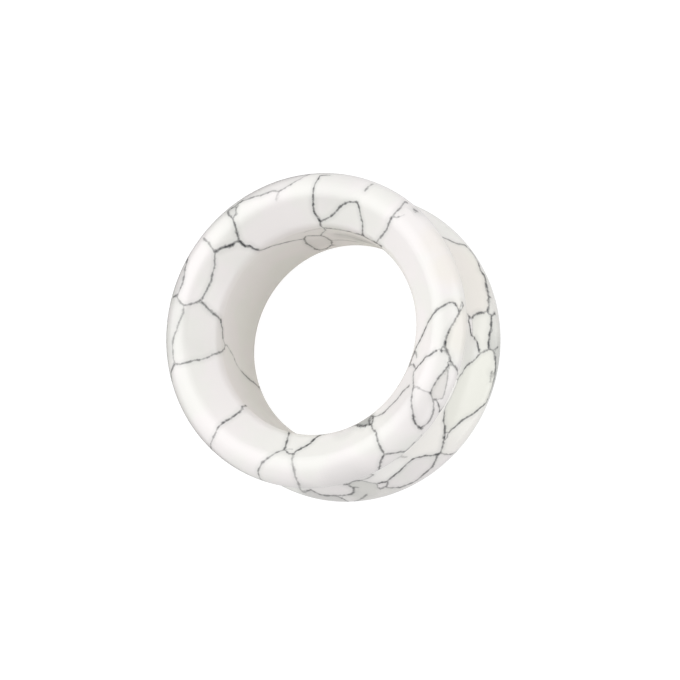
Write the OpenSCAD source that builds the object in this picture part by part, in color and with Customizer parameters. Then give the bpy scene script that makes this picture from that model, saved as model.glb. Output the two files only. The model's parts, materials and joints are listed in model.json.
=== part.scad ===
/* [Size] */
// Diameter over the widest point of the two flares
flare_d = 28; // [26:0.5:32]
// Diameter of the waist that sits in the ear: the wearing size
waist_d = 25; // [23:0.5:26]
// Diameter of the straight hole through the middle
bore_d = 18.4; // [16:0.2:20]
// Length from rim to rim, along the axis
total_length = 13; // [12:0.5:16]

/* [Rims] */
// Radius of each rim outside its crest, from the widest point up to the top
rim_round = 1.85; // [1.4:0.05:2.2]
// Radius of each rim inside its crest, where it turns down into the mouth
crest_round = 1.2; // [0.6:0.1:1.5]
// Radius under the widest point, where a flare turns in towards the waist
flare_round = 1.5; // [0.8:0.1:2]

/* [Mouth] */
// Length of the straight hole between its two rounded edges
bore_length = 7.4; // [4:0.2:7.8]
// Radius of the edge between the sloping mouth and the straight hole
mouth_round = 1.4; // [0.8:0.1:2]

/* [Stone] */
// Colour of the polished white stone
stone_colour = "#F1F0EC"; // [#F1F0EC, #FFFFFF, #E6E2D8]

/* [Hidden] */

// Smoothness of the turned surface, and straight steps in each rounded stretch
$fn = 180;
ARC_STEPS = 14;

// Radii and heights, measured from the axis and from the middle of the length
flare_r = flare_d / 2;
waist_r = waist_d / 2;
bore_r = bore_d / 2;
half_length = total_length / 2;

// Each rim is an outer and an inner arc that meet at its crest
crest_r = flare_r - rim_round;
flare_z = half_length - rim_round;
crest_centre = [crest_r, half_length - crest_round];

// The waist is one hollow arc that meets the flares' turned-in edges
waist_turn = 2 * atan((flare_r - waist_r) / flare_z);
waist_round = flare_z / sin(waist_turn) - flare_round;

// The mouth is a straight slope that touches the crest's arc and the hole's rounded edge
edge_centre = [bore_r + mouth_round, bore_length / 2];
edge_to_crest = crest_centre - edge_centre;
mouth_slope = atan2(edge_to_crest.y, edge_to_crest.x)
    + asin((crest_round - mouth_round) / norm(edge_to_crest));

function arc(centre, radius, from, to) =
    [for (i = [0:ARC_STEPS])
        let (angle = from + (to - from) * i / ARC_STEPS)
        [centre.x + radius * cos(angle), centre.y + radius * sin(angle)]];

// Section of the upper half as [radius, height], from the waist over the rim into the hole
function upper_half() = concat(
    arc([waist_r + waist_round, 0], waist_round, 180, 180 - waist_turn),
    arc([flare_r - flare_round, flare_z], flare_round, -waist_turn, 0),
    arc([crest_r, flare_z], rim_round, 0, 90),
    arc(crest_centre, crest_round, 90, 90 + mouth_slope),
    arc(edge_centre, mouth_round, 90 + mouth_slope, 180));

// A section without the points that repeat the one before them
function without_repeats(points) =
    [for (i = [0:len(points) - 1])
        if (i == 0 || norm(points[i] - points[i - 1]) > 0.001) points[i]];

// The lower half is the upper one turned over, without the shared point at the waist
function lower_half(upper) = [for (i = [len(upper) - 1:-1:1]) [upper[i].x, -upper[i].y]];

module section() {
    upper = without_repeats(upper_half());
    polygon(concat(upper, lower_half(upper)));
}

// One turned ring of stone, flared at both ends, standing on its lower rim
module eyelet() {
    color(stone_colour)
        translate([0, 0, half_length])
            rotate_extrude()
                section();
}

eyelet();
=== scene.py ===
import json
import math
from collections import namedtuple

import bpy
import numpy as np
from mathutils import Matrix, Vector, noise
from mathutils.bvhtree import BVHTree
from mathutils.geometry import delaunay_2d_cdt
from mathutils.kdtree import KDTree


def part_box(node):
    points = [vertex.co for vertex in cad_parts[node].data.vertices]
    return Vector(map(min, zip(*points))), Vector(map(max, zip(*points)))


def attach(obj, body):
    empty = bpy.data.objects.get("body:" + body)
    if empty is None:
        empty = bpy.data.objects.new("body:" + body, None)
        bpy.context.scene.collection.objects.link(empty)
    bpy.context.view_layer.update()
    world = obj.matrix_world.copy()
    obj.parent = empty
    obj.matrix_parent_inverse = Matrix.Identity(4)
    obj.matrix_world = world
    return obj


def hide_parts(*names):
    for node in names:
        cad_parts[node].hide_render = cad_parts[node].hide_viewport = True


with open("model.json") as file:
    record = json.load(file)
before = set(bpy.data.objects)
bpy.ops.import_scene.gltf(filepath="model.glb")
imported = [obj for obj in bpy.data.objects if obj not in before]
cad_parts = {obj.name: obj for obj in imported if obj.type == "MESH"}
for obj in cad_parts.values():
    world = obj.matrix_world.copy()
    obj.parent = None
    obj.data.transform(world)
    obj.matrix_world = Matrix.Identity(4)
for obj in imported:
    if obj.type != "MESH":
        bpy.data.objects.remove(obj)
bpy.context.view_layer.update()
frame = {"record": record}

# Lengths below are in millimetres, and are made metres where a Blender object takes them
MM = 0.001

# Camera: the photo's frame, and how the tunnel lies in it
IMAGE_SIDE = 680
IMAGE_MIDDLE = IMAGE_SIDE / 2
SENSOR_WIDTH = 36.0
CAMERA_DISTANCE = 322.4
PIXELS_PER_MM = 11.247
# Degrees between the view and the tunnel's axis, and from the image's left up to the way that axis leans
VIEW_OFF_AXIS = 23.0
AXIS_LEAN = 25.37
# Pixel where the middle of the tunnel shows
TUNNEL_PIXEL = (333.42, 338.63)

# Sizes that the frame gives
box_low, box_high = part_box("eyelet")
FLARE_R = (box_high.x - box_low.x) / 2 / MM
HALF_LENGTH = (box_high.z - box_low.z) / 2 / MM
BORE = next(mount for mount in frame["record"]["mounts"] if mount["name"] == "bore")["dims"]
BORE_R = BORE["r_mm"]

# Roundings of the turned section, as the solid has them
WAIST_R = 12.5
RIM_ROUND = 1.85
CREST_ROUND = 1.2
FLARE_ROUND = 1.5
MOUTH_ROUND = 1.4

# The stone's mesh: the longest step along the section, the widest turn in one step, and steps round the ring
SECTION_STEP = 0.36
SECTION_TURN = 6.0
RING_STEPS = 224

# Veins: half the width of an ordinary one and the step along it
VEIN_HALF_WIDTH = 0.074
VEIN_STEP = 0.14
# Wander of a vein as (length of one swing, how far it goes): the bends of those that no photo shows, and
# the small kinks of all of them
BROAD_WANDER = ((1.9, 0.3), (0.8, 0.12))
FINE_WANDER = ((0.7, 0.035), (0.3, 0.02))
# An end this close to another vein runs into it
VEIN_JOIN = 0.4


# The camera stands where the photo's did, so that each pixel of the photo is a ray from it

def camera_axes():
    """The directions of the image's right, its top and the way back to the camera."""
    tilt, lean_angle = math.radians(VIEW_OFF_AXIS), math.radians(AXIS_LEAN)
    back = Vector((0, -math.sin(tilt), math.cos(tilt)))
    lean = Vector((0, math.cos(tilt), math.sin(tilt)))
    side = Vector((1, 0, 0))
    right = side * math.sin(lean_angle) - lean * math.cos(lean_angle)
    up = side * math.cos(lean_angle) + lean * math.sin(lean_angle)
    return right, up, back


def make_camera():
    right, up, back = camera_axes()
    middle = Vector((0, 0, HALF_LENGTH))
    off_right = (TUNNEL_PIXEL[0] - IMAGE_MIDDLE) / PIXELS_PER_MM
    off_up = (IMAGE_MIDDLE - TUNNEL_PIXEL[1]) / PIXELS_PER_MM
    place = middle + back * CAMERA_DISTANCE - right * off_right - up * off_up
    data = bpy.data.cameras.new("camera")
    data.sensor_width = SENSOR_WIDTH
    data.lens = SENSOR_WIDTH * PIXELS_PER_MM * CAMERA_DISTANCE / IMAGE_SIDE
    data.clip_start = 0.01
    camera = bpy.data.objects.new("camera", data)
    turn = Matrix((right, up, back)).transposed().to_4x4()
    camera.matrix_world = Matrix.Translation(place * MM) @ turn
    bpy.context.scene.collection.objects.link(camera)
    bpy.context.scene.camera = camera
    return place, data.lens


CAMERA_PLACE, CAMERA_LENS = make_camera()


def pixel_ray(x, y):
    """Direction from the camera through a pixel of the photo."""
    right, up, back = camera_axes()
    per_pixel = SENSOR_WIDTH / IMAGE_SIDE / CAMERA_LENS
    return (right * (x - IMAGE_MIDDLE) - up * (y - IMAGE_MIDDLE)) * per_pixel - back


# The turned section, from the middle of the waist up over the rim, down the hole and back up outside

def arc(centre, radius, start, end, outward=1):
    """Rows of (radius, height, normal's radius, normal's height) along an arc, its angles in degrees."""
    turn = abs(end - start)
    steps = math.ceil(max(turn / SECTION_TURN, math.radians(turn) * radius / SECTION_STEP))
    angles = np.radians(np.linspace(start, end, steps + 1))
    away = np.column_stack([np.cos(angles), np.sin(angles)])
    return np.hstack([centre + radius * away, outward * away])


def straight(start, end):
    """Rows along a straight stretch between two rows, without its ends."""
    steps = math.ceil(np.hypot(*(end - start)[:2]) / SECTION_STEP)
    share = np.linspace(0, 1, steps + 1)[1:-1, None]
    return start + (end - start) * share


def section_rows():
    flare_z = HALF_LENGTH - RIM_ROUND
    crest_r = FLARE_R - RIM_ROUND
    waist_turn = 2 * math.degrees(math.atan((FLARE_R - WAIST_R) / flare_z))
    waist_round = flare_z / math.sin(math.radians(waist_turn)) - FLARE_ROUND
    crest_centre = np.array([crest_r, HALF_LENGTH - CREST_ROUND])
    edge_centre = np.array([BORE_R + MOUTH_ROUND, BORE["length_mm"] / 2])
    apart = crest_centre - edge_centre
    slope = math.degrees(math.atan2(apart[1], apart[0])
                         + math.asin((CREST_ROUND - MOUTH_ROUND) / np.hypot(*apart)))
    waist = arc(np.array([WAIST_R + waist_round, 0]), waist_round, 180, 180 - waist_turn, -1)
    flare = arc(np.array([FLARE_R - FLARE_ROUND, flare_z]), FLARE_ROUND, -waist_turn, 0)
    rim = arc(np.array([crest_r, flare_z]), RIM_ROUND, 0, 90)
    crest = arc(crest_centre, CREST_ROUND, 90, 90 + slope)
    edge = arc(edge_centre, MOUTH_ROUND, 90 + slope, 180)
    bore_middle = np.array([[BORE_R, 0, -1, 0]])
    upper = np.vstack([waist, flare[1:], rim[1:], crest[1:], straight(crest[-1], edge[0]), edge,
                       straight(edge[-1], bore_middle[0]), bore_middle])
    return np.vstack([upper, (upper * [1, -1, 1, -1])[-2::-1]])


SECTION = section_rows()
# Distance along the section to each row. The first row comes again at the end
GIRTHS = np.concatenate([[0], np.cumsum(np.hypot(*np.diff(SECTION[:, :2], axis=0).T))])
GIRTH = GIRTHS[-1]
# The surface is laid out flat as (round, girth), with distance round the ring measured at this radius
LAID_R = (FLARE_R + BORE_R) / 2
ROUND = 2 * math.pi * LAID_R
PERIOD = np.array([ROUND, GIRTH])


def on_stone(laid):
    """Places on the stone and the normals there, for rows of (round, girth)."""
    angles = laid[:, 0] / LAID_R
    girths = np.mod(laid[:, 1], GIRTH)
    radius, height, out, up = (np.interp(girths, GIRTHS, SECTION[:, k]) for k in range(4))
    across = np.column_stack([np.cos(angles), np.sin(angles)])
    places = np.column_stack([across * radius[:, None], height + HALF_LENGTH])
    normals = np.column_stack([across * out[:, None], up])
    return places, normals / np.linalg.norm(normals, axis=1)[:, None]


def laid_out(place):
    """(round, girth) of a place on the stone."""
    angle = math.atan2(place[1], place[0]) % (2 * math.pi)
    here = np.array([math.hypot(place[0], place[1]), place[2] - HALF_LENGTH])
    starts = SECTION[:-1, :2]
    steps = SECTION[1:, :2] - starts
    lengths = np.hypot(*steps.T)
    share = np.clip(((here - starts) * steps).sum(1) / lengths**2, 0, 1)
    nearest = np.argmin(np.hypot(*(starts + steps * share[:, None] - here).T))
    return np.array([angle * LAID_R, GIRTHS[nearest] + share[nearest] * lengths[nearest]])


def near_copy(laid, beside):
    """The copy of a laid-out point that lies nearest to another, as both directions close on themselves."""
    return laid - PERIOD * np.round((laid - beside) / PERIOD)


def grid_laid():
    around = np.linspace(0, ROUND, RING_STEPS + 1)
    return np.array([(u, v) for v in GIRTHS for u in around])


def grid_tree():
    """The plain ring as a tree that rays can be cast at."""
    places, _ = on_stone(grid_laid())
    wide = RING_STEPS + 1
    corners = [row * wide + k for row in range(len(GIRTHS) - 1) for k in range(RING_STEPS)]
    faces = [(c, c + 1, c + wide + 1, c + wide) for c in corners]
    return BVHTree.FromPolygons(places.tolist(), faces)


STONE_TREE = grid_tree()
HIT_TOLERANCE = 0.06


def is_seen(place):
    """True if the photo's camera sees this place on the stone."""
    hit = STONE_TREE.ray_cast(CAMERA_PLACE, (Vector(place) - CAMERA_PLACE).normalized())[0]
    return (hit - Vector(place)).length < HIT_TOLERANCE if hit else True


# Veins that the photo shows, read off it in its pixels. Width 1 and ink 1 are an ordinary dark vein
# A few rows below are painted shade drawn as veins, marked where they stand
Seen = namedtuple("Seen", "width ink pixels")
SEEN_VEINS = [
    # Along the top left of the near rim
    Seen(1.0, 0.6, [(308, 175), (300.5, 179), (293, 183), (285, 188), (279, 191.5), (273, 191)]),
    Seen(1.4, 0.75, [(273, 191), (266.5, 193), (261.5, 195.5), (255, 196.5), (249, 199), (242.5, 201),
                     (237.5, 204), (235, 206.5), (231, 208.5), (228, 211)]),
    Seen(1.7, 0.3, [(279, 191.5), (277, 195.5), (276, 199)]),
    Seen(1.4, 0.75, [(236.5, 207.5), (236, 214), (232.5, 218.5)]),
    Seen(1.2, 0.75, [(228, 211), (228.5, 215), (232.5, 218.5)]),
    Seen(1.4, 0.9, [(232.5, 218.5), (235, 224.5), (236.5, 230.5), (237.5, 235), (238.5, 240)]),
    Seen(1.7, 1.0, [(238.5, 240), (235.5, 242), (233.5, 244), (230, 245.5), (226.8, 246.5), (223, 247.7),
                    (219.5, 249.5), (215, 252)]),
    Seen(1.2, 0.6, [(215, 252), (212.5, 248.6), (210, 245.5), (207.5, 242), (203.5, 238)]),
    # From there into the mouth and round the top of the hole
    Seen(1.4, 1.0, [(238.5, 240), (241, 242.5), (243.4, 244.6), (244.7, 246), (248, 246), (249.6, 245.4),
                    (252, 247.2), (254, 248.8), (257, 250), (259.5, 250.6)]),
    Seen(1.0, 0.9, [(259.5, 250.6), (263, 249.7), (269.7, 247), (274.2, 245.4), (280, 244), (292, 241),
                    (304, 239)]),
    Seen(1.2, 0.9, [(304, 239), (306, 236.1), (312, 235.8), (318.9, 235.8), (322.7, 236.1), (327.4, 238.2),
                    (331.7, 241), (331.7, 244.7), (327.4, 248.3), (320, 250), (315.5, 249), (309.3, 245.2),
                    (306.3, 242.8), (304, 239)]),
    Seen(1.2, 0.75, [(331.7, 244.7), (335, 245.2)]),
    Seen(1.0, 0.75, [(320.5, 221.5), (320.3, 226), (323.8, 228), (326, 230), (322.7, 232.8),
                     (320.6, 235.8)]),
    Seen(1.0, 0.3, [(304.5, 232.3), (309.3, 230.4), (317, 229), (323.8, 228)]),
    # Partly a vein, partly painted shade of the hole's upper edge
    Seen(1.7, 0.9, [(323.8, 228), (333.2, 229), (338, 229.5), (344.6, 230.9), (350.3, 231.8), (354.2, 233.3),
                    (359.9, 234.7), (363.5, 236.2), (367.5, 238.5), (373.3, 241.4), (376.5, 243.3),
                    (380.9, 245.7)]),
    # Painted shade: two wide faint dark streaks on the hole's wall under its upper edge
    Seen(2.0, 0.3, [(335, 234), (348, 236), (358, 239), (368, 243)]),
    Seen(2.0, 0.45, [(336, 240), (348, 240.5), (360, 242.5)]),
    # Top of the near rim
    Seen(1.0, 0.9, [(320, 175.5), (318.5, 179), (315.5, 183), (313.5, 189), (313, 197.5)]),
    Seen(1.4, 1.0, [(313, 197.5), (313, 206), (314, 212.5), (317.5, 217.5), (320.5, 221.5)]),
    Seen(1.0, 0.75, [(320, 175.5), (325, 175), (330, 175.3)]),
    Seen(1.2, 0.9, [(320.5, 221.5), (325.5, 219), (330, 217), (334, 214), (340, 207), (346, 203), (349, 202),
                    (357, 202)]),
    Seen(1.2, 0.9, [(357, 202), (359, 207), (361, 217), (362.8, 224), (362.8, 230), (363.5, 236.2)]),
    Seen(1.2, 0.6, [(365, 191), (368, 187), (373, 184)]),
    Seen(1.2, 0.75, [(376.5, 243.3), (379, 239), (382.8, 235.2), (386.6, 229.4), (388.5, 224.2)]),
    Seen(1.4, 0.9, [(388.5, 224.2), (390.8, 219.2), (392.5, 216.7)]),
    Seen(1.2, 0.75, [(392.5, 216.7), (395.8, 211.7), (400, 207.9), (402, 205.8), (405, 202), (406.7, 202),
                     (407.5, 203.3)]),
    Seen(1.0, 0.6, [(392.5, 216.7), (396.7, 217.5), (400, 216.7)]),
    Seen(0.8, 0.3, [(400, 216.7), (404, 215)]),
    Seen(2.4, 1.0, [(414.5, 210), (416.5, 211)]),
    # Far flare, down its right side
    Seen(1.2, 0.75, [(443, 237.5), (447, 239), (453, 242), (458, 243.8), (465.8, 245.4), (467, 247),
                     (470.3, 250.4), (474.5, 255.8), (478.7, 263.3), (479.5, 266.7)]),
    Seen(1.7, 0.9, [(479.5, 266.7), (480.8, 270.8), (484.5, 275.8), (485.8, 280), (486.2, 284.2),
                    (487.4, 289.2), (488.5, 295.4), (488.8, 300.8), (488.7, 306.7), (486.6, 311.3)]),
    Seen(1.2, 0.75, [(488.5, 295.4), (490.8, 297.5)]),
    Seen(1.4, 0.9, [(486.6, 311.3), (483.5, 312.5), (479, 313), (476.4, 313.8), (473.7, 315.7),
                    (472, 318.4)]),
    Seen(1.4, 0.75, [(472, 318.4), (469.3, 317), (467.5, 314.3)]),
    Seen(1.7, 1.0, [(469.3, 317), (468.3, 320), (469.6, 323.9), (470.2, 327.7), (470.7, 332), (471, 334.7),
                    (473.7, 336.9), (475.9, 340.2), (477.5, 343.4), (478, 346.7), (479.1, 350.5),
                    (480.2, 353.2)]),
    Seen(0.8, 0.45, [(472, 318.4), (472.6, 328), (472.4, 334.7), (473.7, 336.9)]),
    Seen(1.4, 0.9, [(486.6, 311.3), (489.4, 314.4), (492.2, 315.7), (494.9, 313.3)]),
    Seen(1.7, 1.0, [(491.6, 315.8), (491.3, 320.6), (491.3, 327.1), (490, 332), (489.2, 336.9), (488.7, 343),
                    (488.9, 349.1)]),
    Seen(1.2, 0.75, [(480.2, 353.2), (484.6, 351.5), (488.9, 349.1), (493.2, 350.2), (496.5, 348.3),
                     (498, 347)]),
    Seen(1.7, 0.9, [(493.5, 350.2), (494.5, 355.3), (495.4, 360.5), (495.5, 367), (494.9, 373), (494, 379)]),
    Seen(1.2, 0.6, [(494, 379), (492.5, 385), (489.5, 394.5), (487.9, 398.2)]),
    Seen(2.0, 0.75, [(491.6, 372), (491.2, 376)]),
    Seen(1.4, 0.45, [(491.2, 376), (490.3, 382)]),
    Seen(1.2, 0.9, [(480.2, 353.2), (477.8, 356), (475.3, 359), (472.6, 361.7), (468.8, 363.8),
                    (466.6, 365.7), (464.2, 369.2), (462.3, 373), (459.6, 376)]),
    # Long cells over the right of the near rim
    Seen(1.4, 0.75, [(457.7, 374), (457.3, 370.5), (456, 367.7), (453.2, 365), (450.7, 360.7)]),
    Seen(1.4, 0.75, [(450.7, 360.7), (449.5, 356), (446.8, 350.5), (444.6, 347)]),
    Seen(1.4, 1.0, [(444.6, 347), (445, 343.2), (446.8, 336.8), (448.6, 331.4), (450.5, 327.7)]),
    Seen(1.2, 0.75, [(450.5, 327.7), (454.1, 322.3), (456.8, 316.8), (459.3, 312)]),
    Seen(1.2, 0.75, [(459.3, 312), (461.6, 309), (463.3, 305), (461.8, 301.8)]),
    Seen(0.8, 0.45, [(459.3, 309), (460.8, 305.5), (461.8, 301.8)]),
    Seen(1.2, 0.9, [(459.3, 312), (457.3, 306.8), (455, 303.6), (452.3, 302.5), (448.2, 302.7), (444.1, 305),
                    (439.5, 308.6), (435, 312.3), (431.4, 316.8), (427.7, 323.2), (424.1, 331.4),
                    (420.9, 338.6), (416.8, 345.9), (415, 350.5)]),
    Seen(1.4, 0.9, [(415, 350.5), (413.2, 355), (410.5, 361.8), (409.1, 366.4)]),
    Seen(1.2, 0.6, [(415, 350.5), (416.4, 353.2), (416.8, 357)]),
    Seen(0.8, 0.3, [(444.6, 347), (441, 348.5), (436.4, 350.6)]),
    Seen(1.2, 0.9, [(436.4, 350.6), (432.3, 353.6), (428.2, 355.9), (424.5, 357.7), (423.6, 360),
                    (420.9, 363.2), (417.9, 366.2)]),
    Seen(1.2, 0.75, [(444.6, 347), (442.3, 346.9), (441.5, 348.5), (441.5, 351.5)]),
    Seen(1.2, 0.75, [(409.1, 366.4), (410.5, 365), (413.2, 364.5), (415, 366.8), (415.5, 369.5),
                     (413.6, 372.3), (413.2, 376.8), (413.6, 385.5), (412.3, 391.8), (411.4, 400),
                     (411.8, 407.3), (413.2, 413.6)]),
    Seen(1.2, 0.9, [(413.2, 413.6), (414.1, 419.1), (415.5, 423.6), (418.2, 426.4), (420.9, 427.3)]),
    Seen(1.4, 0.9, [(420.9, 427.3), (421.5, 429.5)]),
    Seen(1.2, 0.6, [(420.9, 427.3), (424.1, 425.6), (427.3, 423.4), (430, 420), (432.3, 415.5)]),
    Seen(1.2, 0.75, [(432.3, 415.5), (433.6, 410), (433.5, 406), (434.1, 403.6), (432.7, 399.5),
                     (431.4, 395.9), (430.4, 392.7)]),
    Seen(1.0, 0.75, [(430.4, 392.7), (431.8, 389.1), (434.5, 384.5), (438.6, 377.7), (443.2, 372.3),
                     (446.4, 367.7), (448.5, 365.5), (447.5, 362.5), (450.7, 360.7)]),
    Seen(1.4, 0.45, [(413.4, 387.7), (417.3, 386.8), (420, 389.1)]),
    Seen(0.8, 0.3, [(420, 389.1), (425.5, 391.4), (430.4, 392.7)]),
    Seen(1.2, 0.75, [(432.7, 399.5), (437.3, 399.3)]),
    Seen(1.0, 0.45, [(437.3, 399.3), (442.5, 398.8), (444.4, 393.6), (446.5, 385), (447.7, 377),
                     (448.2, 370.5)]),
    Seen(1.2, 0.9, [(436.2, 400.3), (437.7, 402.5), (439.1, 406.4), (439.5, 411.8)]),
    # Partly a vein, partly painted shade along the near flare's outline where it passes in front of the far
    # flare
    Seen(1.0, 0.45, [(457.7, 374), (458, 380), (455, 388), (450, 399), (446, 406), (444.5, 411)]),
    Seen(1.4, 0.9, [(444.5, 411), (443.6, 420), (444.5, 427.3), (445.2, 432.7)]),
    # Far flare, round its bottom right
    Seen(1.2, 0.9, [(445.2, 432.7), (449.1, 432.3), (451.8, 429.5), (456.4, 425.5), (461.8, 420.9),
                    (466.4, 417.3), (472, 414.5), (475.6, 411.8), (479.3, 408.6), (483.8, 405),
                    (486.1, 402.7), (487.9, 398.2)]),
    Seen(1.7, 1.0, [(445.2, 432.7), (444.1, 438.2), (443.5, 442.7)]),
    Seen(1.4, 0.9, [(443.5, 442.7), (441.8, 448.2), (440, 452.7), (437.7, 454.2)]),
    Seen(0.8, 0.6, [(448, 433), (446.6, 438), (443.8, 441.5)]),
    Seen(1.0, 0.6, [(440, 452.7), (445.5, 454.1), (450.9, 454.1), (455, 452.7)]),
    Seen(1.2, 0.9, [(437.7, 454.2), (430, 455.5), (424.5, 455.9), (418.2, 457.3), (412.7, 459.1),
                    (406, 464.5), (399.2, 471.3), (391.7, 477.2), (387.5, 480.5)]),
    Seen(1.2, 0.75, [(437.7, 454.2), (435.9, 459.1), (432, 467), (424, 474), (414, 482), (400, 487.6),
                     (393.3, 487.6), (386.7, 487.6)]),
    Seen(1.4, 0.9, [(377.5, 483.8), (381.7, 482.6), (385.8, 481.8), (387.5, 480.5)]),
    Seen(1.2, 0.75, [(387.5, 480.5), (387.5, 483), (386.7, 486), (384.2, 487.2)]),
    Seen(1.0, 0.6, [(384.2, 487.2), (380.5, 489), (377.8, 487.5), (377.5, 483.8)]),
    Seen(1.0, 0.45, [(377.5, 483.8), (373, 483), (368.3, 482), (360.8, 480.3)]),
    Seen(1.4, 0.75, [(360.8, 480.3), (356.7, 480.5), (352.5, 481.3), (348.5, 484)]),
    Seen(2.4, 1.0, [(346.3, 484.5), (348.5, 484)]),
    Seen(1.2, 0.6, [(360.8, 480.3), (366.7, 478.8), (370.8, 476.3), (373, 474.7)]),
    Seen(1.7, 0.9, [(348.5, 484), (349.2, 486), (352.5, 487.2), (354.2, 489.3), (353.8, 492.2),
                    (351.7, 493.8)]),
    Seen(1.2, 0.75, [(351.7, 493.8), (347.5, 495), (341.7, 495.5), (335, 495.5)]),
    Seen(1.0, 0.45, [(352.5, 487), (359, 487.6)]),
    Seen(1.4, 0.6, [(355, 501), (360, 499.7), (363.3, 497.2), (366.7, 494.7)]),
    # Bottom of the near rim
    Seen(1.2, 0.75, [(371.2, 424.4), (372, 428.5), (376.3, 432.5), (377, 439), (378, 442.5), (381, 449),
                     (384, 454)]),
    Seen(1.2, 0.75, [(384, 454), (394, 453), (400, 451.8), (404.5, 451.8), (408.2, 449.1), (412.7, 444.5),
                     (416.4, 440.5)]),
    Seen(0.8, 0.3, [(416.4, 440.5), (421.8, 434.5)]),
    Seen(1.2, 0.9, [(384, 454), (382, 458), (380, 463), (379, 469)]),
    Seen(1.7, 0.9, [(371.2, 415.5), (369, 420), (369.3, 423.4), (371.2, 424.4), (373.2, 419), (373, 416.5),
                    (371.2, 415.5)]),
    Seen(2.0, 1.0, [(353.5, 425), (357.5, 425.2), (362.5, 426), (367.5, 425), (371.2, 424.4)]),
    Seen(1.2, 0.75, [(373, 416.5), (377.5, 416), (382, 414), (385, 411.7), (389, 407.5), (395.6, 401),
                     (403, 391), (409, 386)]),
    Seen(2.0, 0.45, [(401, 456.5), (405, 457.5)]),
    Seen(1.2, 0.9, [(284.5, 449.7), (286.8, 451.4), (288.6, 453.4), (291.8, 453.7), (294.1, 453.6)]),
    Seen(1.2, 0.9, [(284.5, 449.7), (285.9, 445), (287.3, 440.5), (288.6, 435), (290.3, 432)]),
    Seen(1.4, 1.0, [(294.1, 453.6), (295.9, 451.4), (300.9, 448.6), (306.4, 445.9), (310.9, 442.7),
                    (314.5, 439.1), (318.2, 436.4), (320.9, 434.8), (326, 434)]),
    Seen(0.8, 0.3, [(284.5, 449.7), (289, 449), (292.5, 449.2)]),
    Seen(1.2, 0.75, [(284.5, 449.7), (279.1, 451.6), (273.6, 454.1), (270, 456.5), (262, 463), (258, 471),
                     (260, 478)]),
    Seen(1.4, 0.6, [(294.1, 453.6), (293, 455.5), (292, 459.5), (292.7, 465), (294.1, 470.5), (295, 475),
                    (296.4, 479.5), (298.2, 483.2), (300.5, 488)]),
    # Painted shade: a grey blob where the near flare's outline meets the far one
    Seen(1.7, 0.6, [(300.5, 489.5), (303, 492), (306.4, 491)]),
    Seen(1.2, 0.75, [(306.4, 491), (310.9, 489.7), (315.5, 492.3), (320, 494.5), (326.4, 495.5),
                     (335, 495.5), (341, 498), (344.5, 499.3), (347.5, 501)]),
    # Bottom left of the near rim
    Seen(1.4, 0.75, [(246.2, 405.7), (242.5, 406.9), (241.4, 410), (238.6, 412.3)]),
    Seen(1.2, 0.9, [(238.6, 412.3), (234.1, 416.4), (229.1, 419.5), (223.2, 422.8), (220.5, 425),
                    (217.7, 427.7)]),
    Seen(1.2, 0.6, [(217.7, 427.7), (214.5, 435), (212.3, 440.5), (210.9, 444.1), (211, 448)]),
    # Left of the near rim, and down the wall of the hole
    Seen(1.2, 0.75, [(175.2, 363.5), (180.6, 364), (187.4, 362.3), (194.2, 360.5), (202, 359.3),
                     (207.9, 357.4), (212.8, 354.7), (217.6, 353.3), (222.5, 351), (224.5, 348.1),
                     (225.2, 345)]),
    Seen(1.2, 0.75, [(175.2, 363.5), (172.3, 368.1), (171, 373), (171.3, 377)]),
    Seen(1.2, 0.6, [(175.2, 363.5), (173.3, 358.4), (172.8, 351.5), (172.8, 343.7), (173.3, 337.9),
                    (176.2, 331.1), (179.6, 321.3), (183.3, 313.5), (183.7, 308)]),
    Seen(0.8, 0.3, [(183.7, 308), (184.1, 305.3)]),
    Seen(1.4, 0.9, [(202, 302), (206.9, 307.2), (211.8, 312.5), (217.6, 316.4), (220.6, 320.3),
                    (221.5, 325.2), (222.7, 330.1), (222.5, 334), (223.3, 339.5)]),
    Seen(1.0, 0.45, [(223.3, 339.5), (225.2, 345)]),
    Seen(1.0, 0.45, [(225.2, 345), (226.9, 345.4), (230.3, 350.6), (233.2, 355.4), (234.4, 358.8),
                     (236.6, 364.2), (241, 371)]),
    Seen(1.4, 0.9, [(241, 371), (245.9, 375.9), (250.8, 380.3), (255.6, 384.2), (258.6, 387)]),
    Seen(1.2, 0.75, [(184.1, 305.3), (187.7, 304.8), (191.4, 304.1), (195.9, 302.3), (200, 300.6),
                     (201.5, 299.5)]),
    Seen(1.0, 0.45, [(201.5, 299.5), (202, 302)]),
    Seen(1.2, 0.75, [(201.5, 299.5), (204.1, 295), (206.8, 289.5), (209.5, 284.1), (211, 281),
                     (211.8, 276.8), (213.2, 271.4), (214.5, 265.9), (214.7, 258.6), (215, 252)]),
    Seen(1.2, 0.6, [(184.1, 305.3), (181.8, 303.6), (179.1, 300.5), (176.8, 295.7)]),
    Seen(1.2, 0.75, [(176.8, 295.7), (173.5, 297)]),
    Seen(1.4, 0.75, [(176.8, 295.7), (178.6, 293.2), (180.5, 288.6), (183.2, 281.4), (184.5, 274.1),
                     (185, 268.6), (186.8, 263.2), (187.9, 257.5)]),
]
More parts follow.
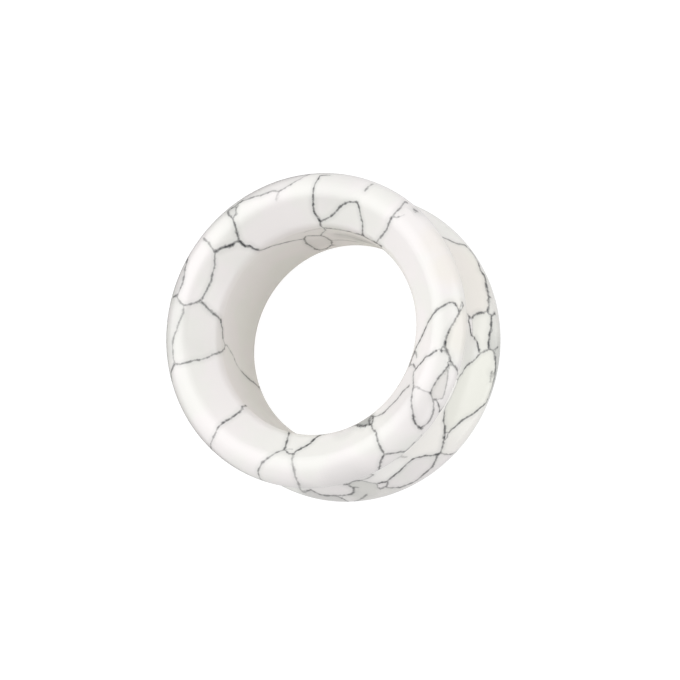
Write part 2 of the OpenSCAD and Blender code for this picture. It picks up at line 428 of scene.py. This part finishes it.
# Places where the veins thicken to a black knot, by how much they widen
Knot = namedtuple("Knot", "widening pixel")
SEEN_KNOTS = [
    Knot(0.8, (400.4, 207.5)), Knot(0.5, (406, 202)), Knot(0.5, (479, 265.8)), Knot(0.5, (485.8, 281.7)),
    Knot(0.4, (488.5, 295.4)), Knot(0.5, (489, 338)), Knot(0.6, (488.7, 344.5)), Knot(0.6, (479, 350.5)),
    Knot(0.6, (469, 316)), Knot(0.7, (444.3, 344.5)), Knot(0.8, (450.5, 361)), Knot(0.7, (448.3, 365.3)),
    Knot(0.7, (415, 350.7)), Knot(0.8, (430.5, 392.7)), Knot(0.6, (441.5, 351)), Knot(0.6, (439.5, 411)),
    Knot(0.7, (420.9, 427.6)), Knot(0.5, (443.5, 442.5)), Knot(0.6, (437.7, 454)), Knot(0.6, (411.4, 459)),
    Knot(0.6, (373, 474.9)), Knot(0.5, (353.5, 489.5)), Knot(0.6, (223.3, 247.5)), Knot(0.7, (215.5, 251.7)),
    Knot(0.7, (238.2, 240.3)), Knot(0.6, (246, 246)), Knot(0.6, (225.3, 344.7)), Knot(0.5, (211, 281.5)),
    Knot(0.7, (320, 221)), Knot(0.6, (317.5, 217.3)), Knot(0.6, (294, 453.5)), Knot(0.6, (223.2, 422.8)),
    Knot(0.6, (246.2, 405.7)), Knot(0.5, (221, 320.8)), Knot(0.6, (244.5, 374.5)), Knot(0.6, (291, 185)),
    Knot(0.5, (306.3, 243)), Knot(0.6, (234.4, 358.8)), Knot(0.5, (418.5, 365.7)),
]
# Half the length of a knot
KNOT_REACH = 0.13

# Cells whose stone is greyer, creamier, more tan or whiter than the rest, from 0 to 1 each. Some of the grey
# is painted shade (along the outlines, on the hole's wall under its upper edge, where the outlines meet at
# the bottom left) and some of the white is painted light on the groove between the flares, as marked below.
# The shade fades out at this reach in mm from a pixel inside the cell, and stops at the veins
Tone = namedtuple("Tone", "grey cream tan white reach pixel")
SEEN_TONES = [
    # Painted shade: the grey of both tones on this line, in slivers along the top left outline
    Tone(0.15, 0, 0, 0, 6, (268, 189)), Tone(0.30, 0, 0, 0, 2, (232, 213)),
    Tone(0.08, 0, 0, 0, 3, (335, 188)), Tone(0.14, 0, 0, 0, 2, (318, 243)),
    # Painted shade: the grey of both tones on this line, on the hole's wall under its upper edge
    Tone(0.35, 0, 0, 0, 2, (352, 237)), Tone(0.50, 0, 0, 0, 1.5, (364, 241)),
    Tone(0.75, 0, 0, 0, 1.2, (365, 422)), Tone(0.12, 0, 0, 0, 4, (404, 389)),
    # Painted shade: the grey of both tones on this line and the first on the next, in slivers along the left
    # outline
    Tone(0.22, 0, 0, 0, 4, (178, 280)), Tone(0.15, 0, 0, 0, 3, (176, 310)),
    Tone(0.12, 0, 0, 0, 3, (172, 335)), Tone(0.10, 0.1, 0, 0, 4, (205, 330)),
    Tone(0.22, 0, 0.2, 0, 3, (440, 388)), Tone(0.08, 0, 0, 0, 3, (422, 410)),
    Tone(0.14, 0.5, 0, 0, 2.5, (465, 348)), Tone(0.02, 0, 0.4, 0, 3, (462, 328)),
    # Painted shade: the grey of the last tone on this line and on the next, in slivers along the right
    # outline
    Tone(0.03, 0.7, 0, 0, 3, (481, 330)), Tone(0.20, 0.3, 0, 0, 3, (494, 332)),
    Tone(0.12, 0.4, 0, 0, 3, (491, 295)), Tone(0.40, 0, 0, 0, 4, (497, 365)),
    Tone(0, 0.9, 0.1, 0, 6, (472, 392)), Tone(0.02, 0, 0.45, 0, 6, (466, 280)),
    Tone(0, 0, 0.4, 0, 2.2, (450, 268)), Tone(0, 0, 0.3, 0, 2.0, (437, 240)),
    # Painted light: the white on this line and the next two lifts the shade of the groove between the flares
    Tone(0, 0.3, 0, 0.4, 4, (474, 424)), Tone(0, 0, 0.2, 1, 4, (425, 437)),
    Tone(0, 0, 0, 1, 4, (400, 463)), Tone(0, 0, 0, 1, 4, (447, 402)),
    Tone(0, 0.2, 0.1, 0.5, 4, (455, 443)), Tone(0.24, 0.4, 0, 0, 2.5, (362, 490)),
    # Painted shade: the grey of the last tone on this line and the first on the next, where the outlines meet
    Tone(0.12, 0.3, 0, 0, 3, (376, 494)), Tone(0.34, 0.1, 0, 0, 3, (325, 498)),
    Tone(0.12, 0.1, 0, 0, 1.5, (304, 488)), Tone(0.14, 0, 0, 0, 1.6, (345, 430)),
    Tone(0.12, 0, 0, 0, 2.6, (345, 478)),
]

# A pixel that just misses the stone is moved by this many pixels at a time, towards the middle of the
# ring's band
MISS_STEP = 0.5
MISS_STEPS = 12
BAND_RADIUS = 128

Vein = namedtuple("Vein", "width ink laid")


def pixel_on_stone(pixel):
    """(round, girth) of what the photo shows at a pixel."""
    off = Vector(pixel) - Vector(TUNNEL_PIXEL)
    inward = off.normalized() * (-MISS_STEP if off.length > BAND_RADIUS else MISS_STEP)
    for k in range(MISS_STEPS):
        hit = STONE_TREE.ray_cast(CAMERA_PLACE, pixel_ray(*(Vector(pixel) + inward * k)).normalized())[0]
        if hit:
            return laid_out(hit)
    raise ValueError(f"pixel {pixel} is not on the stone")


def chained(points):
    """Laid-out points, each given as the copy next to the one before."""
    chain = [points[0]]
    for point in points[1:]:
        chain.append(near_copy(point, chain[-1]))
    return np.array(chain)


def seen_veins():
    return [Vein(row.width, row.ink, chained([pixel_on_stone(p) for p in row.pixels])) for row in SEEN_VEINS]


# Vein cells on the sides that the photo doesn't show, of the same kind and size
NET_SEED = 11
CELL_COUNT = 110
# A few cells are broken into small ones, by this share, this many seeds and this far apart
SMALL_SHARE = 0.16
SMALL_SEEDS = 2
SMALL_REACH = 1.3
# Share of the net's veins that are missing, and of those left, that are faint
MISSING_SHARE = 0.1
FAINT_SHARE = 0.25
# Tries at a shaded cell out of the photo's view, how far from its middle it fades out, and the most that it
# has of each shade
TONE_TRIES = 120
TONE_REACH = 3.0
HIDDEN_TONE = (0.3, 0.9, 0.6, 0.3)


def net_seeds(random):
    """Middles of the cells: each is the candidate that lies furthest from those before it, loosely."""
    seeds = [random.random(2) * PERIOD]
    while len(seeds) < CELL_COUNT:
        tries = random.random((5, 2)) * PERIOD
        so_far = np.array(seeds)
        gaps = []
        for point in tries:
            apart = so_far - point
            gaps.append(np.hypot(*(apart - PERIOD * np.round(apart / PERIOD)).T).min())
        seeds.append(tries[int(np.argmax(gaps))])
    for middle in list(seeds):
        if random.random() < SMALL_SHARE:
            seeds.extend(middle + random.normal(0, SMALL_REACH, 2) for _ in range(SMALL_SEEDS))
    return np.array(seeds)


def circumcentre(a, b, c):
    """Centre of the circle through three points."""
    ab, ac = b - a, c - a
    twice_area = 2 * (ab[0] * ac[1] - ab[1] * ac[0])
    across = np.array([ac[1] * ab.dot(ab) - ab[1] * ac.dot(ac), ab[0] * ac.dot(ac) - ac[0] * ab.dot(ab)])
    return a + across / twice_area


def net_edges(random):
    """Borders between the cells, as pairs of laid-out points."""
    seeds = net_seeds(random)
    copies = np.vstack([seeds + PERIOD * (i, j) for i in (-1, 0, 1) for j in (-1, 0, 1)])
    laid, _, faces, *_ = delaunay_2d_cdt([Vector(p) for p in copies], [], [], 0, 1e-6)
    corners = np.array([tuple(p) for p in laid])
    centres = [circumcentre(*corners[list(face)]) for face in faces]
    face_of = {}
    for k, face in enumerate(faces):
        for a, b in zip(face, face[1:] + face[:1]):
            face_of[(a, b)] = k
    borders = [(centres[k], centres[face_of[(b, a)]]) for (a, b), k in face_of.items()
               if a < b and (b, a) in face_of]
    return [pair for pair in borders if np.all((0 <= sum(pair)) & (sum(pair) < 2 * PERIOD))]


def hidden_veins():
    """The net's veins that lie wholly out of the photo's view."""
    random = np.random.default_rng(NET_SEED)
    veins = []
    for start, end in net_edges(random):
        along = end - start
        bow = random.normal(0, 0.12) * np.array([-along[1], along[0]])
        missing, faint, ink, width = random.random(4)
        line = np.array([start, start + along * 0.3 + bow, start + along * 0.7 + bow * 0.8, end])
        hidden = not any(is_seen(place) for place in on_stone(line)[0])
        if hidden and missing > MISSING_SHARE:
            veins.append(Vein(0.9 + 0.9 * width**2, 0.45 if faint < FAINT_SHARE else 0.75 + 0.3 * ink,
                              wandered(resampled(line, VEIN_STEP), BROAD_WANDER)))
    return veins


def resampled(line, step):
    """The same line with points no further apart than step."""
    points = [line[:1]]
    for start, end in zip(line[:-1], line[1:]):
        count = max(1, math.ceil(np.hypot(*(end - start)) / step))
        points.append(start + (end - start) * np.linspace(0, 1, count + 1)[1:, None])
    return np.vstack(points)


def tree_of(veins):
    """A tree of all the veins' points, with the vein and the point that each stands for."""
    index = [(k, i) for k, vein in enumerate(veins) for i in range(len(vein.laid))]
    tree = KDTree(len(index))
    places = np.vstack([on_stone(vein.laid)[0] for vein in veins])
    for number, place in enumerate(places):
        tree.insert(place, number)
    tree.balance()
    return tree, index


def joined(veins, targets, reach):
    """The veins, with each end that lies within reach of a target vein run into it."""
    tree, index = tree_of(targets)
    made = []
    for vein in veins:
        laid = vein.laid
        for at_start in (True, False):
            end = laid[0] if at_start else laid[-1]
            near = tree.find_range(on_stone(end[None])[0][0], reach)
            for _, number, _ in sorted(near, key=lambda found: found[2]):
                k, i = index[number]
                if targets[k].laid is vein.laid:
                    continue
                target = near_copy(targets[k].laid[i], end)[None]
                laid = np.vstack([target, laid] if at_start else [laid, target])
                break
        made.append(vein._replace(laid=laid))
    return made


def wandered(laid, wander):
    """A line with the swings of a real vein, the same wherever two veins meet."""
    places, _ = on_stone(laid)
    moved = laid.copy()
    for length, reach in wander:
        swings = [noise.noise_vector(Vector(place) / length) for place in places]
        moved += np.array([(swing.x, swing.y) for swing in swings]) * reach
    return moved


EDGE_REACH = 0.8
BRIDGE_REACH = 7.0


def places_round(laid, reach):
    """Places on the stone in a ring round a laid-out point."""
    turns = np.linspace(0, 2 * math.pi, 9)[:-1]
    return on_stone(laid + reach * np.column_stack([np.cos(turns), np.sin(turns)]))[0]


def at_edge_of_view(laid):
    """True if this end of a seen vein lies where the stone turns out of the photo's view."""
    return not all(is_seen(place) for place in places_round(laid, EDGE_REACH))


def bent_out_of_view(laid):
    """A seen vein's line, with the swings of the hidden ones where it goes wholly out of the photo's view."""
    hidden = [not any(is_seen(place) for place in places_round(point, EDGE_REACH)) for point in laid]
    return np.where(np.array(hidden)[:, None], wandered(laid, BROAD_WANDER), laid)


def bridges(seen, hidden):
    """Veins that carry on each loose end that the photo shows at the edge of its view to the hidden net."""
    tree, index = tree_of(hidden)
    seen_tree, seen_index = tree_of(seen)
    made = []
    for number, vein in enumerate(seen):
        closes = np.hypot(*(vein.laid[0] - vein.laid[-1])) < VEIN_JOIN
        for end in (vein.laid[0], vein.laid[-1]):
            place = on_stone(end[None])[0][0]
            beside = [seen_index[found][0] for _, found, _ in seen_tree.find_range(place, VEIN_JOIN)]
            if closes or any(k != number for k in beside) or not at_edge_of_view(end):
                continue
            near = tree.find_range(place, BRIDGE_REACH)
            for _, found, _ in sorted(near, key=lambda entry: entry[2]):
                k, i = index[found]
                target = near_copy(hidden[k].laid[i], end)
                line = resampled(np.array([end, target]), VEIN_STEP)
                hidden_share = np.mean([not is_seen(place) for place in on_stone(line)[0]])
                if hidden_share > 0.8:
                    swing = np.sin(np.linspace(0, math.pi, len(line)))[:, None]
                    bent = line + (wandered(line, BROAD_WANDER) - line) * swing
                    made.append(Vein(vein.width, vein.ink, bent))
                    break
    return made


def all_veins():
    seen = [vein._replace(laid=bent_out_of_view(resampled(vein.laid, VEIN_STEP))) for vein in seen_veins()]
    seen = joined(seen, seen, VEIN_JOIN)
    hidden = hidden_veins()
    veins = seen + hidden + bridges(seen, hidden)
    return [vein._replace(laid=wandered(resampled(vein.laid, VEIN_STEP), FINE_WANDER)) for vein in veins]


# The stone's mesh has its edges along the veins, so that they stay sharp

# Each shade's attribute and colour, in a tone's order. The grey is partly painted shade and the white partly
# painted light
SHADES = (("grey_cells_and_painted_shade", "#999B98"), ("cell_cream", "#ECECE3"), ("cell_tan", "#ECE6DA"),
          ("white_cells_and_painted_light", "#FBF9F6"))
# Points beside a vein as (distance from it, step along it)
SIDE_ROWS = ((0.11, 0.14), (0.34, 0.3))
# A point of the plain grid nearer than this to a vein is left out
GRID_CLEAR = 0.2
# Distances from a vein are kept up to this
FAR_FROM_VEIN = 1.5


class VeinDistance:
    """Answers how far a place is from the nearest vein, and that vein's width and ink."""

    def __init__(self, veins):
        self.veins = veins
        self.tree, self.index = tree_of(veins)
        self.places = [on_stone(vein.laid)[0] for vein in veins]

    def at(self, place):
        _, number, _ = self.tree.find(place)
        k, i = self.index[number]
        line = self.places[k]
        nearest = min((to_segment(place, line[j], line[j + 1])
                       for j in (i - 1, i) if 0 <= j < len(line) - 1), default=0)
        return nearest, self.veins[k].width, self.veins[k].ink


def to_segment(place, start, end):
    along = end - start
    length = along.dot(along)
    share = min(1, max(0, (place - start).dot(along) / length)) if length else 0
    return float(np.linalg.norm(place - start - along * share))


def knot_swelling(places):
    """How much each place's vein is widened by the knots round it."""
    middles = on_stone(np.array([pixel_on_stone(knot.pixel) for knot in SEEN_KNOTS]))[0]
    widenings = np.array([knot.widening for knot in SEEN_KNOTS])
    apart = np.linalg.norm(places[:, None] - middles[None], axis=2)
    return (widenings * np.exp(-(apart / KNOT_REACH) ** 2)).max(axis=1)


def side_points(vein):
    """Laid-out points on both sides of a vein."""
    points = []
    for reach, step in SIDE_ROWS:
        line = resampled(vein.laid[::max(1, round(step / VEIN_STEP))], step)
        if len(line) < 2:
            continue
        along = np.gradient(line, axis=0)
        places, _ = on_stone(line)
        stretch = LAID_R / np.hypot(places[:, 0], places[:, 1])
        true_along = along / np.column_stack([stretch, np.ones(len(line))])
        across = np.column_stack([-true_along[:, 1], true_along[:, 0]])
        across /= np.maximum(np.hypot(*across.T), 1e-9)[:, None]
        for side in (-reach, reach):
            moved = line + across * side * np.column_stack([stretch, np.ones(len(line))])
            points.extend((reach, point) for point in moved)
    return points


class Layout:
    """The flat layout's points and fixed edges. Points on one border are repeated on the other."""

    def __init__(self):
        self.points = []
        self.found = {}
        self.edges = set()

    def add(self, u, v):
        key = (round(float(u), 5), round(float(v), 5))
        if key not in self.found:
            self.found[key] = len(self.points)
            self.points.append(key)
        return self.found[key]

    def add_with_copies(self, point):
        """Adds a point inside the layout, and its copies if it lies on a border. Returns its own number."""
        own = self.add(*point)
        for u in {0, ROUND} if min(abs(point[0]), abs(point[0] - ROUND)) < 1e-5 else {point[0]}:
            for v in {0, GIRTH} if min(abs(point[1]), abs(point[1] - GIRTH)) < 1e-5 else {point[1]}:
                self.add(u, v)
        return own

    def add_line(self, line):
        """Adds a line's edges, cut where it crosses a border."""
        for start, end in zip(line[:-1], line[1:]):
            cuts = {0.0, 1.0}
            for k in range(2):
                low, high = sorted((start[k], end[k]))
                for border in range(math.ceil(low / PERIOD[k]), math.floor(high / PERIOD[k]) + 1):
                    if high > low:
                        cuts.add((border * PERIOD[k] - start[k]) / (end[k] - start[k]))
            cuts = sorted(cuts)
            for t0, t1 in zip(cuts[:-1], cuts[1:]):
                tile = PERIOD * np.floor((start + (end - start) * (t0 + t1) / 2) / PERIOD)
                ends = [self.add_with_copies(np.clip(start + (end - start) * t - tile, 0, PERIOD))
                        for t in (t0, t1)]
                if ends[0] != ends[1]:
                    self.edges.add(tuple(ends))


def all_tones():
    """The tones that the photo shows, and others like them wholly out of its view, as (tone, place)."""
    tones = [(tone, on_stone(pixel_on_stone(tone.pixel)[None])[0][0]) for tone in SEEN_TONES]
    random = np.random.default_rng(NET_SEED)
    for laid in random.random((TONE_TRIES, 2)) * PERIOD:
        amounts = [most * random.random() ** 2 for most in HIDDEN_TONE]
        if not any(is_seen(place) for place in places_round(laid, TONE_REACH)):
            tones.append((Tone(*amounts, TONE_REACH, None), on_stone(laid[None])[0][0]))
    return tones


def toned(middles, neighbours):
    """Each face's shades, spread out from each tone's place as far as the veins let it."""
    shades = np.zeros((len(middles), len(SHADES)))
    tree = KDTree(len(middles))
    for number, middle in enumerate(middles):
        tree.insert(middle, number)
    tree.balance()
    for tone, place in all_tones():
        first = tree.find(place)[1]
        reached = {first}
        edge = [first]
        while edge:
            face = edge.pop()
            share = 1 - np.linalg.norm(middles[face] - middles[first]) / tone.reach
            if share <= 0:
                continue
            strength = min(1, 2 * share)
            shades[face] = np.maximum(shades[face], np.array(tone[:len(SHADES)]) * strength)
            fresh = [beside for beside in neighbours[face] if beside not in reached]
            reached.update(fresh)
            edge.extend(fresh)
    return shades


def face_neighbours(faces, blocked):
    """Numbers of the faces that share an edge with each face, apart from the blocked edges."""
    beside = {}
    for number, face in enumerate(faces):
        for a, b in zip(face, face[1:] + face[:1]):
            beside.setdefault(frozenset((a, b)), []).append(number)
    neighbours = [[] for _ in faces]
    for edge, pair in beside.items():
        if edge not in blocked and len(pair) == 2:
            neighbours[pair[0]].append(pair[1])
            neighbours[pair[1]].append(pair[0])
    return neighbours


def stone_mesh(veins):
    distance = VeinDistance(veins)
    layout = Layout()
    for vein in veins:
        layout.add_line(vein.laid)
    for vein in veins:
        for reach, point in side_points(vein):
            inside = np.mod(point, PERIOD)
            if distance.at(on_stone(inside[None])[0][0])[0] > 0.8 * reach:
                layout.add_with_copies(inside)
    grid = grid_laid()
    for point, place in zip(grid, on_stone(grid)[0]):
        if distance.at(place)[0] > GRID_CLEAR:
            layout.add_with_copies(point)
    laid, edges, faces, _, edge_origins, _ = delaunay_2d_cdt(
        [Vector(p) for p in layout.points], sorted(layout.edges), [], 0, 1e-6)
    laid = np.array([tuple(p) for p in laid])
    wrapped = np.where(laid > PERIOD - 1e-4, 0, laid)
    keys, number = np.unique(np.round(wrapped, 4), axis=0, return_inverse=True)
    number = number.ravel()
    kept = np.zeros((len(keys), 2))
    kept[number] = wrapped
    places, normals = on_stone(kept)
    mesh = bpy.data.meshes.new("tunnel")
    welded = [[int(number[c]) for c in face] for face in faces]
    flat_faces = [(face, corners) for face, corners in zip(faces, welded) if len(set(corners)) == 3]
    corners = [corners for _, corners in flat_faces]
    mesh.from_pydata((places * MM).tolist(), [], corners)
    mesh.shade_smooth()
    uv = mesh.uv_layers.new(name="layout")
    uv.data.foreach_set("uv", np.concatenate([laid[list(face)] / PERIOD for face, _ in flat_faces]).ravel())
    near = [distance.at(place) for place in places]
    swelling = knot_swelling(places)
    reach = [min(gap, FAR_FROM_VEIN) / (VEIN_HALF_WIDTH * width * (1 + swell))
             for (gap, width, _), swell in zip(near, swelling)]
    ink = [ink + (1 - ink) * swell for (*_, ink), swell in zip(near, swelling)]
    mesh.attributes.new("vein_reach", "FLOAT", "POINT").data.foreach_set("value", reach)
    mesh.attributes.new("vein_ink", "FLOAT", "POINT").data.foreach_set("value", ink)
    blocked = {frozenset((int(number[a]), int(number[b])))
               for (a, b), origin in zip(edges, edge_origins) if origin}
    shades = toned(places[np.array(corners)].mean(axis=1), face_neighbours(corners, blocked))
    for (name, _), amounts in zip(SHADES, shades.T):
        mesh.attributes.new(name, "FLOAT", "FACE").data.foreach_set("value", amounts)
    mesh.normals_split_custom_set_from_vertices(normals.tolist())
    return mesh


# Materials

def linear(hex_colour):
    """Linear red, green, blue and alpha of an sRGB hex colour."""
    shares = [int(hex_colour[k:k + 2], 16) / 255 for k in (1, 3, 5)]
    return [s / 12.92 if s <= 0.04045 else ((s + 0.055) / 1.055) ** 2.4 for s in shares] + [1.0]


def add(tree, kind, inputs=None, **settings):
    """Adds a node with its settings. An input that is a socket is linked, and any other value is set."""
    node = tree.nodes.new(kind)
    for name, value in settings.items():
        setattr(node, name, value)
    for name, value in (inputs or {}).items():
        if isinstance(value, bpy.types.NodeSocket):
            tree.links.new(value, node.inputs[name])
        else:
            node.inputs[name].default_value = value
    return node


def new_material(name):
    material = bpy.data.materials.new(name)
    material.use_nodes = True
    material.node_tree.nodes.clear()
    return material, material.node_tree


def per_metre(millimetres):
    """Scale of a texture whose features are this many millimetres across."""
    return 1 / (millimetres * MM)


def polished_howlite():
    """Howlite, cut and tumbled to a polish: chalk-white, lightly clouded, with dark web veins under gloss."""
    material, tree = new_material("polished_howlite")
    place = add(tree, "ShaderNodeTexCoord").outputs["Object"]
    reach, ink = (add(tree, "ShaderNodeAttribute", attribute_name=name).outputs["Fac"]
                  for name in ("vein_reach", "vein_ink"))
    clouds = add(tree, "ShaderNodeTexNoise", {"Vector": place, "Scale": per_metre(5), "Detail": 3})
    knots = add(tree, "ShaderNodeTexNoise", {"Vector": place, "Scale": per_metre(0.42), "Detail": 2})
    grain = add(tree, "ShaderNodeTexNoise", {"Vector": place, "Scale": per_metre(0.2), "Detail": 2})
    cloudy = add(tree, "ShaderNodeMapRange", {"Value": clouds.outputs["Fac"], "From Min": 0.42,
                                              "From Max": 0.62}, interpolation_type="SMOOTHSTEP")
    whites = add(tree, "ShaderNodeMix", {"Factor": cloudy.outputs[0], "A": linear("#EEEAE9"),
                                         "B": linear("#EBEAE6")}, data_type="RGBA")
    # The cells' shades. The grey is partly painted shade and the white partly painted light
    shaded = whites
    for name, colour in reversed(SHADES):
        amount = add(tree, "ShaderNodeAttribute", attribute_name=name)
        shaded = add(tree, "ShaderNodeMix", {"Factor": amount.outputs["Fac"], "A": shaded.outputs["Result"],
                                             "B": linear(colour)}, data_type="RGBA")
    # A vein swells and darkens to a knot, then thins and pales, every half millimetre or so
    thinning = add(tree, "ShaderNodeMapRange", {"Value": knots.outputs["Fac"], "From Min": 0.34,
                                                "From Max": 0.66, "To Min": 1.45, "To Max": 0.7})
    thinned = add(tree, "ShaderNodeMath", {0: reach, 1: thinning.outputs[0]}, operation="MULTIPLY")
    ragged = add(tree, "ShaderNodeMath", {0: grain.outputs["Fac"], 1: 1.1, 2: thinned.outputs[0]},
                 operation="MULTIPLY_ADD")
    line = add(tree, "ShaderNodeMapRange", {"Value": ragged.outputs[0], "From Min": 2.4, "From Max": 0.6},
               interpolation_type="SMOOTHSTEP")
    strength = add(tree, "ShaderNodeMapRange", {"Value": knots.outputs["Fac"], "From Min": 0.34,
                                                "From Max": 0.58, "To Min": 0.55, "To Max": 1.0})
    inked = add(tree, "ShaderNodeMath", {0: ink, 1: strength.outputs[0]}, operation="MULTIPLY")
    dark = add(tree, "ShaderNodeMath", {0: inked.outputs[0], 1: line.outputs[0]}, operation="MULTIPLY")
    halo = add(tree, "ShaderNodeMapRange", {"Value": reach, "From Min": 6.0, "From Max": 1.0, "To Max": 0.22},
               interpolation_type="SMOOTHSTEP")
    haze = add(tree, "ShaderNodeMath", {0: halo.outputs[0], 1: ink}, operation="MULTIPLY")
    hazed = add(tree, "ShaderNodeMix", {"Factor": haze.outputs[0], "A": shaded.outputs["Result"],
                                        "B": linear("#A9ABA8")}, data_type="RGBA")
    veined = add(tree, "ShaderNodeMix", {"Factor": dark.outputs[0], "A": hazed.outputs["Result"],
                                         "B": linear("#3A3C3E")}, data_type="RGBA")
    shader = add(tree, "ShaderNodeBsdfPrincipled", {"Base Color": veined.outputs["Result"], "Roughness": 0.2,
                                                    "IOR": 1.59})
    add(tree, "ShaderNodeOutputMaterial", {"Surface": shader.outputs[0]})
    return material


def pale_floor():
    """A white sheet lit from behind: it glows almost white, so that only a little shade shows on it."""
    material, tree = new_material("pale_floor")
    shader = add(tree, "ShaderNodeBsdfPrincipled", {"Base Color": linear("#606060"), "Roughness": 0.9,
                                                    "Emission Color": linear("#FFFFFF"),
                                                    "Emission Strength": 0.95})
    add(tree, "ShaderNodeOutputMaterial", {"Surface": shader.outputs[0]})
    return material


def shaded_floor():
    """Matt white paper under the ring's hole, seen only by the light that it throws back up. It also glows
    faintly, adding light to the hole's wall from below as a lamp would.
    """
    material, tree = new_material("shaded_floor")
    shader = add(tree, "ShaderNodeBsdfPrincipled", {"Base Color": linear("#E9E7E1"), "Roughness": 0.9,
                                                    "Emission Color": linear("#FFFDF8"),
                                                    "Emission Strength": 0.15})
    add(tree, "ShaderNodeOutputMaterial", {"Surface": shader.outputs[0]})
    return material


# The tunnel

def make_tunnel():
    tunnel = bpy.data.objects.new("tunnel", stone_mesh(all_veins()))
    tunnel.data.materials.append(polished_howlite())
    bpy.context.scene.collection.objects.link(tunnel)
    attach(tunnel, "root")
    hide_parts("eyelet")


# The studio: a white sheet, one broad soft light high behind, brighter at its middle, one low in front, a
# weak one at the right, and a pale surround that also stands for what such a sheet throws back. A black card
# low behind draws the ring's upper outline

FLOOR_HALF = 3.0
# What lies under the open hole, in the ring's own shade
SHADE_RADIUS = 13.0
SHADE_DEPTH = 0.1

# Each round light by its height and bearing in degrees from +X, the half angle that it fills, its
# distance in metres and its brightness
Softbox = namedtuple("Softbox", "name height bearing half_angle distance brightness")
SOFTBOXES = [
    Softbox("key", 53, 92, 45, 0.6, 0.46),
    Softbox("key_middle", 61, 92, 25, 0.6, 0.53),
    Softbox("front", 0, 288, 38, 0.5, 1.05),
    Softbox("right", 20, 330, 35, 0.5, 0.30),
]
# The surround's brightness, from its dimmest point to its brightest, and where the brightest is
SURROUND_DIM = 0.43
SURROUND_BRIGHT = 0.97
SURROUND_WAY = (18, 111)
# Where the black card's middle is, and the cosines from there at which it ends, with a soft edge
CARD_WAY = (-28, 98)
CARD_END = 0.72
CARD_FULL = 0.83


def towards(height, bearing):
    """Unit vector from a height and a bearing in degrees."""
    height, bearing = math.radians(height), math.radians(bearing)
    return Vector((math.cos(height) * math.cos(bearing), math.cos(height) * math.sin(bearing),
                   math.sin(height)))


def stage_piece(name, corners, material):
    mesh = bpy.data.meshes.new(name)
    mesh.from_pydata(corners, [], [tuple(range(len(corners)))])
    mesh.materials.append(material)
    piece = bpy.data.objects.new(name, mesh)
    bpy.context.scene.collection.objects.link(piece)
    return piece


def make_floor():
    corners = [(x * FLOOR_HALF, y * FLOOR_HALF, 0) for x, y in ((-1, -1), (1, -1), (1, 1), (-1, 1))]
    sheet = stage_piece("floor", corners, pale_floor())
    sheet.visible_diffuse = False
    sheet.visible_glossy = False
    sheet.visible_shadow = False
    turns = np.linspace(0, 2 * math.pi, 65)[:-1]
    circle = [(SHADE_RADIUS * MM * math.cos(t), SHADE_RADIUS * MM * math.sin(t), -SHADE_DEPTH * MM)
              for t in turns]
    shade = stage_piece("floor_under_hole", circle, shaded_floor())
    shade.visible_camera = False


def make_lights():
    for box in SOFTBOXES:
        data = bpy.data.lights.new(box.name, "AREA")
        data.shape = "DISK"
        radius = box.distance * math.tan(math.radians(box.half_angle))
        data.size = 2 * radius
        data.energy = box.brightness * math.pi * math.pi * radius**2
        light = bpy.data.objects.new(box.name, data)
        way = towards(box.height, box.bearing)
        light.location = way * box.distance
        light.rotation_mode = "QUATERNION"
        light.rotation_quaternion = way.to_track_quat("Z", "Y")
        light.visible_camera = False
        bpy.context.scene.collection.objects.link(light)
    world = bpy.data.worlds.new("surround")
    world.use_nodes = True
    tree = world.node_tree
    way = add(tree, "ShaderNodeTexCoord").outputs["Generated"]
    side, card_side = (
        add(tree, "ShaderNodeVectorMath", {0: way, 1: towards(*middle)}, operation="DOT_PRODUCT")
        for middle in (SURROUND_WAY, CARD_WAY))
    bright = add(tree, "ShaderNodeMapRange", {"Value": side.outputs["Value"], "From Min": -1.0,
                                              "To Min": SURROUND_DIM, "To Max": SURROUND_BRIGHT})
    past_card = add(tree, "ShaderNodeMapRange", {"Value": card_side.outputs["Value"], "From Min": CARD_FULL,
                                                 "From Max": CARD_END}, interpolation_type="SMOOTHSTEP")
    strength = add(tree, "ShaderNodeMath", {0: bright.outputs[0], 1: past_card.outputs[0]},
                   operation="MULTIPLY")
    tree.nodes["Background"].inputs["Color"].default_value = linear("#FFFFFF")
    tree.links.new(strength.outputs[0], tree.nodes["Background"].inputs["Strength"])
    bpy.context.scene.world = world
    bpy.context.scene.view_settings.view_transform = "Standard"


make_tunnel()
make_floor()
make_lights()
